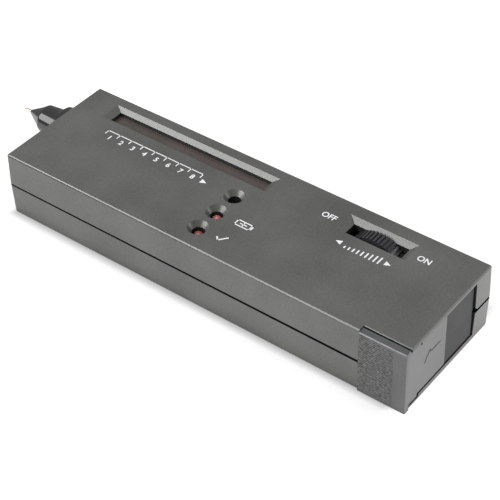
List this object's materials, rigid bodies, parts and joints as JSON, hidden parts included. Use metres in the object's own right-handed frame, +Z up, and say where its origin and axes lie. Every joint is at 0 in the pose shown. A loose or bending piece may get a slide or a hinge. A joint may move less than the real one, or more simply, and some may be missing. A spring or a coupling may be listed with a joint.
{
  "type": "diamond tester",
  "caption": "Pocket thermal gem tester: box case of satin grey shells, slim lamp window, ribbed thumbwheel, sliding battery door and a black cone probe with a sprung copper tip.",
  "frame": {"origin": "centre of the case's flat underside", "axes": "+X from the probe end to the battery end, +Y from the door's long side to the window's long side, +Z up through the top face"},
  "size_m": [0.1552, 0.0402, 0.0207],
  "materials": {
    "case_paint": "moulded plastic in satin metallic graphite grey paint",
    "smoked_lens": "smoked, polished",
    "black_moulding": "moulded, matt",
    "lamp_red": "clear red, moulded",
    "board_green": "resist-coated board",
    "nylon": "natural nylon",
    "capacitor_sleeve": "shrink sleeve over a metal can",
    "resistor_body": "lacquered",
    "trimmer_body": "moulded",
    "pot_metal": "plated steel can",
    "probe_black": "glossy black moulding",
    "lead_black": "flexible insulation",
    "lead_red": "flexible insulation",
    "battery_wrap": "printed metal jacket",
    "plated_steel": "nickel plated",
    "screw_steel": "zinc plated",
    "wheel_black": "moulded, ribbed",
    "foam": "closed-cell foam",
    "copper": "turned copper",
    "heater_ceramic": "ceramic"
  },
  "bodies": {
    "case": {"top_shell": "case_paint", "bottom_shell": "case_paint", "window_lens": "smoked_lens", "lamp_holder": "black_moulding", "bar_lamps": "lamp_red", "circuit_board": "board_green", "battery_lamp": "lamp_red", "ready_lamp": "lamp_red", "lamp_spacers": "nylon", "buzzer": "black_moulding", "chips": "black_moulding", "capacitors": "capacitor_sleeve", "resistors": "resistor_body", "trimmers": "trimmer_body", "transistors": "black_moulding", "wheel_pot": "pot_metal", "probe_collar": "probe_black", "probe_nose": "probe_black", "probe_barrel": "probe_black", "probe_leads": "lead_black", "battery": "battery_wrap", "battery_terminals": "plated_steel", "battery_snap": "lead_black", "snap_contacts": "plated_steel", "red_lead": "lead_red", "black_lead": "lead_black", "case_screws": "screw_steel", "board_screws": "screw_steel", "probe_spring": "screw_steel"},
    "wheel": {"thumbwheel": "wheel_black", "wheel_shaft": "screw_steel", "wheel_screw": "screw_steel"},
    "door": {"battery_door": "case_paint", "foam_pad": "foam"},
    "tip": {"probe_tip": "copper", "tip_carrier": "nylon", "tip_heater": "heater_ceramic"}
  },
  "joints": [
    {"name": "wheel_turn", "type": "hinge", "parent": "case", "child": "wheel", "pos_m": [0.03695, 0.0117, 0.0117], "axis": [0, 1, 0], "range_deg": [0, 280]},
    {"name": "door_slide", "type": "slide", "parent": "case", "child": "door", "axis": [0, -1, 0], "range_m": [0, 0.034]},
    {"name": "tip_press", "type": "slide", "parent": "case", "child": "tip", "axis": [1, 0, 0], "range_m": [0, 0.0015], "stiffness_N_per_m": 300, "springref_m": -0.001, "deforming": ["probe_spring"]}
  ]
}
